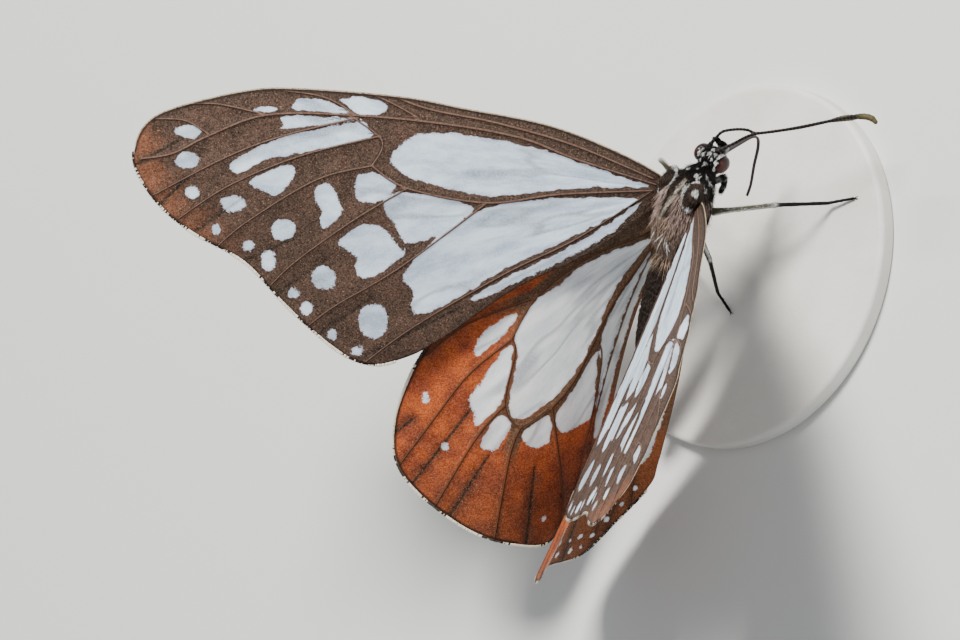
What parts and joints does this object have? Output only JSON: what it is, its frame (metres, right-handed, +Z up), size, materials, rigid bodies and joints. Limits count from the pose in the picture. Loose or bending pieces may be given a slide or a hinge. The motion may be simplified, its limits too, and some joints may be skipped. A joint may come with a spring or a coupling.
{
  "type": "chestnut tiger butterfly model",
  "caption": "Life-size chestnut tiger butterfly (Parantica sita) standing with its wings half open on a low oval base.",
  "frame": {"origin": "on the floor, under the middle of the whole model's box", "axes": "+Y towards the insect's head, +X to its own right, +Z up"},
  "size_m": [0.0746, 0.0592, 0.0524],
  "materials": {
    "wing": "matt wing scales: blue-white patches on brown, hindwing border chestnut",
    "body": "black hair and scales with white spots and cream stripes",
    "abdomen": "dark brown above, paler below, short scales",
    "eye": "glossy dark red-brown, finely faceted",
    "limb": "black-brown with pale scales on the thighs",
    "antenna": "finely ringed black with an olive tip",
    "base": "matt off-white paint"
  },
  "bodies": {
    "root": {"abdomen": "abdomen", "antenna_left": "antenna", "antenna_right": "antenna", "eye_left": "eye", "eye_right": "eye", "foreleg_left": "limb", "foreleg_right": "limb", "forewing_left": "wing", "forewing_right": "wing", "head": "body", "hindleg_left": "limb", "hindleg_right": "limb", "hindwing_left": "wing", "hindwing_right": "wing", "midleg_left": "limb", "midleg_right": "limb", "palp_left": "body", "palp_right": "body", "proboscis": "limb", "stand_base": "base", "thorax": "body"}
  },
  "joints": []
}
